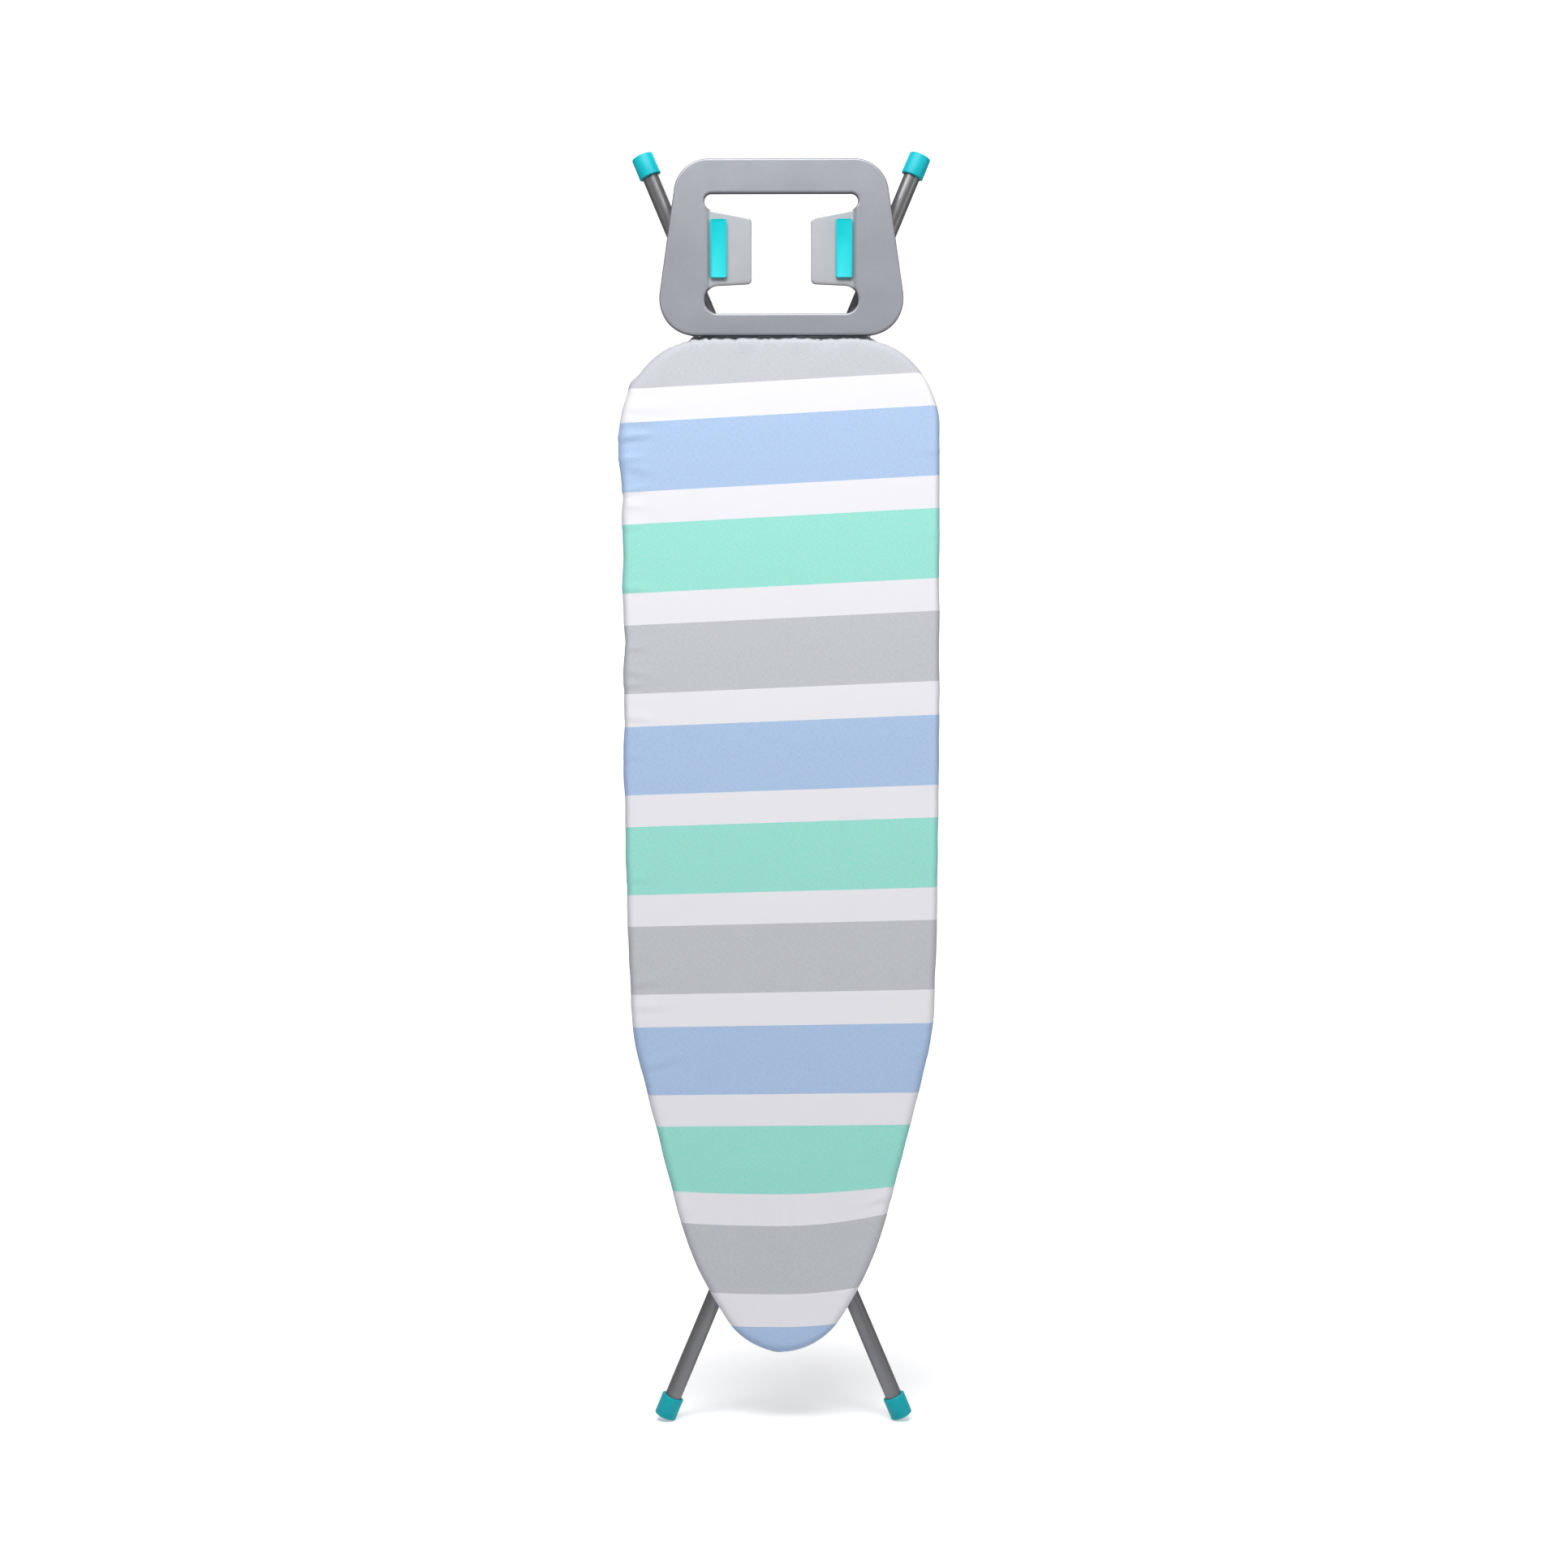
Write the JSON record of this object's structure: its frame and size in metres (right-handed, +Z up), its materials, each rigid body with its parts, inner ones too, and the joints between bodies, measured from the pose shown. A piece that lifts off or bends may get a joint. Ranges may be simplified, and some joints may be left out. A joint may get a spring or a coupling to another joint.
{
  "type": "ironing board",
  "caption": "Folding ironing board with a padded fabric cover on a steel mesh top, a pressed-steel iron rest and scissor tube legs set by a hand lever.",
  "frame": {"origin": "on the floor, under the middle of the folded, upright board's bounding box", "axes": "+Z up the board from the nose to the iron rest, +X to the right when facing the ironing surface, -Y out of the ironing surface"},
  "size_m": [0.34, 0.051, 1.3766],
  "materials": {
    "cover_cloth": "striped cotton",
    "felt": "needled felt",
    "mesh_paint": "light grey paint",
    "frame_paint": "satin grey paint",
    "leg_paint": "metallic silver paint",
    "rest_paint": "metallic silver paint",
    "zinc": "zinc plated",
    "foot_plastic": "turquoise moulded plastic",
    "silicone": "turquoise silicone",
    "nylon": "black nylon"
  },
  "bodies": {
    "board": {"cover": "cover_cloth", "underlay_pad": "felt", "deck_mesh": "mesh_paint", "board_rim": "frame_paint", "nose_rib": "frame_paint", "front_rib": "frame_paint", "middle_rib": "frame_paint", "rear_rib": "frame_paint", "tail_rib": "frame_paint", "right_rail": "frame_paint", "left_rail": "frame_paint", "rail_rivets": "zinc", "tail_pivot_rod": "zinc", "lever_spring": "zinc", "clamp_screws": "zinc", "right_rest_rod": "zinc", "left_rest_rod": "zinc", "pivot_rod_caps": "nylon", "right_pivot_spacer": "nylon", "left_pivot_spacer": "nylon", "centre_pivot_spacer": "nylon", "rest_rod_clamps": "nylon", "iron_rest": "rest_paint", "right_rest_pad": "silicone", "left_rest_pad": "silicone"},
    "lever": {"lever_rod": "zinc", "lock_plate": "zinc", "lever_grip": "foot_plastic", "lever_clip": "nylon"},
    "front_leg": {"front_leg_left_tube": "leg_paint", "front_leg_left_lug": "leg_paint", "front_leg_left_foot": "foot_plastic", "front_leg_right_tube": "leg_paint", "front_leg_right_lug": "leg_paint", "front_leg_right_foot": "foot_plastic", "front_leg_brace": "leg_paint", "cross_rivets": "zinc", "cross_washers": "nylon"},
    "rear_leg": {"rear_leg_left_tube": "leg_paint", "rear_leg_left_lug": "leg_paint", "rear_leg_left_foot": "foot_plastic", "rear_leg_right_tube": "leg_paint", "rear_leg_right_lug": "leg_paint", "rear_leg_right_foot": "foot_plastic", "rear_leg_brace": "leg_paint", "slide_bar": "zinc", "right_slide_roller": "nylon", "left_slide_roller": "nylon", "slide_bar_caps": "nylon"}
  },
  "joints": [
    {"name": "leg_fold", "type": "hinge", "parent": "board", "child": "front_leg", "pos_m": [0, -0.0025, 1.105], "axis": [1, 0, 0], "range_deg": [0, 48]},
    {"name": "leg_cross", "type": "hinge", "parent": "front_leg", "child": "rear_leg", "pos_m": [0, 0.0135, 0.6883], "axis": [1, 0, 0], "range_deg": [-96, 0]},
    {"name": "height_lever", "type": "hinge", "parent": "board", "child": "lever", "pos_m": [0, -0.0025, 0.61013], "axis": [1, 0, 0], "range_deg": [0, 8], "stiffness_Nm_per_rad": 1.2, "springref_deg": -20.05}
  ],
  "couplings": [
    {"joint": "leg_cross", "follows": "leg_fold", "ratio": -2}
  ]
}
